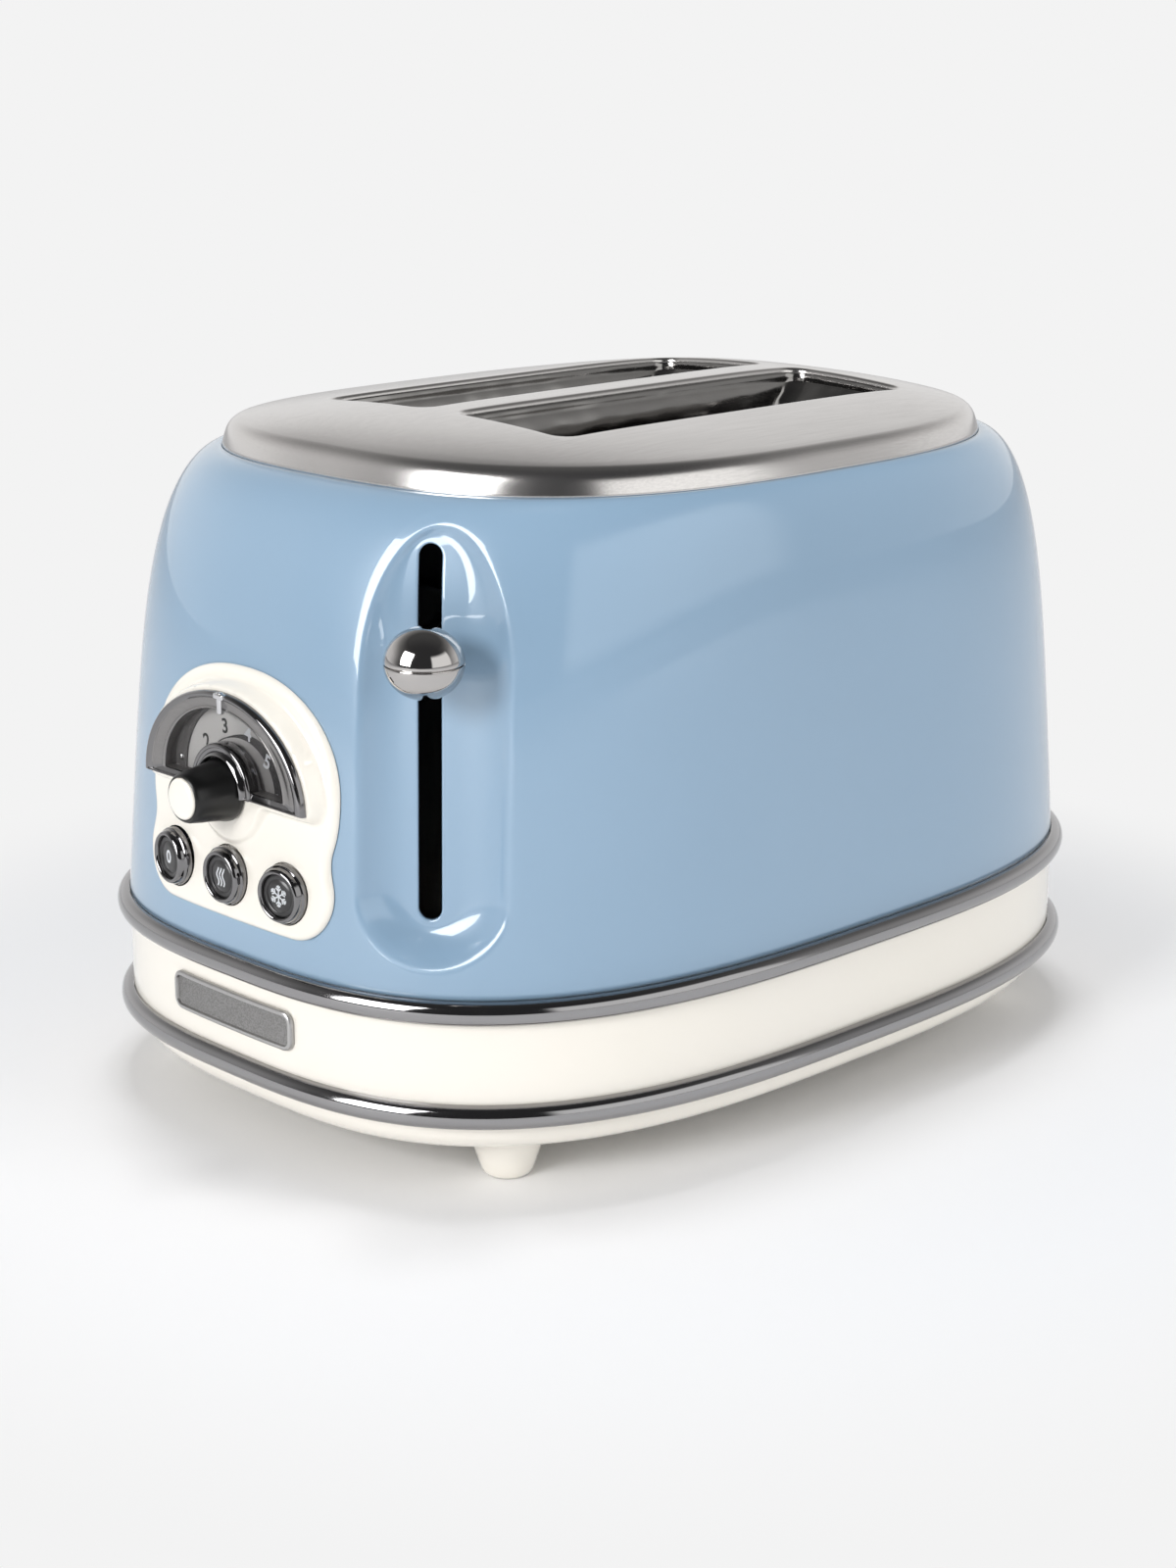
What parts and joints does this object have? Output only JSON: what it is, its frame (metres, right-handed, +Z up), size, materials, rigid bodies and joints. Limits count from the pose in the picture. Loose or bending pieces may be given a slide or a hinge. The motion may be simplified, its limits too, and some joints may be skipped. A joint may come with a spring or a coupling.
{
  "type": "two-slice toaster",
  "caption": "Pop-up toaster with twin bread slots in a domed steel top, enamelled body, cream base, ball lever in a side recess, and an end panel with dial and push buttons.",
  "frame": {"origin": "on the floor under the centre of the whole bounding box", "axes": "+X along the bread slots away from the controls, +Z up, the long side with the open view is at -Y"},
  "size_m": [0.3224, 0.2306, 0.2088],
  "materials": {
    "enamel": "glossy pastel blue enamel",
    "cream": "glossy cream plastic",
    "steel": "brushed and polished stainless steel",
    "chrome": "polished chrome plating",
    "smoked": "clear smoked window",
    "plate": "satin printed dial plate",
    "black": "glossy black plastic",
    "mica": "mica sheet with flat ribbon winding",
    "zinc": "zinc plated steel",
    "circuit": "green circuit board",
    "copper": "copper wire coil on a steel core",
    "rubber": "black rubber"
  },
  "bodies": {
    "housing": {"body_shell": "enamel", "top_plate": "steel", "base_band": "cream", "upper_trim_ring": "chrome", "lower_trim_ring": "chrome", "base_tray": "cream", "foot_front_left": "cream", "foot_front_right": "cream", "foot_rear_left": "cream", "foot_rear_right": "cream", "control_panel": "cream", "dial_bezel": "chrome", "dial_window": "smoked", "badge_plate": "chrome", "slot_liner_front": "steel", "slot_liner_rear": "steel", "reflector_front": "zinc", "reflector_rear": "zinc", "heater_front": "mica", "heater_rear": "mica", "heater_middle": "mica", "chassis_left": "zinc", "chassis_right": "zinc", "guide_rod": "zinc", "electromagnet": "copper", "return_spring": "zinc", "circuit_board": "circuit", "browning_pot": "zinc", "cord_gland": "rubber"},
    "carriage": {"carriage_bracket": "zinc", "lever_arm": "zinc", "lever_knob": "chrome", "armature": "zinc", "bread_rack_front": "zinc", "bread_rack_rear": "zinc"},
    "guard_a": {"guard_front_outer": "steel"},
    "guard_b": {"guard_front_inner": "steel"},
    "guard_c": {"guard_rear_inner": "steel"},
    "guard_d": {"guard_rear_outer": "steel"},
    "browning_dial": {"dial_knob": "black", "knob_cap": "cream", "number_disc": "plate"},
    "defrost_key": {"button_defrost": "chrome", "button_face_defrost": "black"},
    "reheat_key": {"button_reheat": "chrome", "button_face_reheat": "black"},
    "cancel_key": {"button_cancel": "chrome", "button_face_cancel": "black"},
    "crumb_drawer": {"crumb_tray": "steel", "crumb_tray_handle": "cream"}
  },
  "joints": [
    {"name": "carriage_slide", "type": "slide", "parent": "housing", "child": "carriage", "axis": [0, 0, 1], "range_m": [-0.068, 0.022], "stiffness_N_per_m": 90, "springref_m": 0.016, "deforming": ["return_spring"]},
    {"name": "guard_front_outer_hinge", "type": "hinge", "parent": "housing", "child": "guard_a", "pos_m": [0.0112, -0.0489, 0.058], "axis": [1, 0, 0], "range_deg": [-3.25, 1.1]},
    {"name": "guard_front_inner_hinge", "type": "hinge", "parent": "housing", "child": "guard_b", "pos_m": [0.0112, -0.0105, 0.058], "axis": [1, 0, 0], "range_deg": [-1.1, 3.25]},
    {"name": "guard_rear_inner_hinge", "type": "hinge", "parent": "housing", "child": "guard_c", "pos_m": [0.0112, 0.0105, 0.058], "axis": [1, 0, 0], "range_deg": [-3.25, 1.1]},
    {"name": "guard_rear_outer_hinge", "type": "hinge", "parent": "housing", "child": "guard_d", "pos_m": [0.0112, 0.0489, 0.058], "axis": [1, 0, 0], "range_deg": [-1.1, 3.25]},
    {"name": "browning_dial_turn", "type": "hinge", "parent": "housing", "child": "browning_dial", "pos_m": [-0.15, 0, 0.1092], "axis": [1, 0, 0], "range_deg": [-114, 66]},
    {"name": "defrost_press", "type": "slide", "parent": "housing", "child": "defrost_key", "axis": [0.9903, 0.1392, 0], "range_m": [0, 0.0022], "stiffness_N_per_m": 400},
    {"name": "reheat_press", "type": "slide", "parent": "housing", "child": "reheat_key", "axis": [1, 0, 0], "range_m": [0, 0.0022], "stiffness_N_per_m": 400},
    {"name": "cancel_press", "type": "slide", "parent": "housing", "child": "cancel_key", "axis": [0.9903, -0.1392, 0], "range_m": [0, 0.0022], "stiffness_N_per_m": 400},
    {"name": "crumb_tray_slide", "type": "slide", "parent": "housing", "child": "crumb_drawer", "axis": [1, 0, 0], "range_m": [0, 0.18]}
  ],
  "couplings": [
    {"joint": "guard_front_outer_hinge", "follows": "carriage_slide", "rad_per_m": 0.82},
    {"joint": "guard_front_inner_hinge", "follows": "carriage_slide", "rad_per_m": -0.82},
    {"joint": "guard_rear_inner_hinge", "follows": "carriage_slide", "rad_per_m": 0.82},
    {"joint": "guard_rear_outer_hinge", "follows": "carriage_slide", "rad_per_m": -0.82}
  ]
}
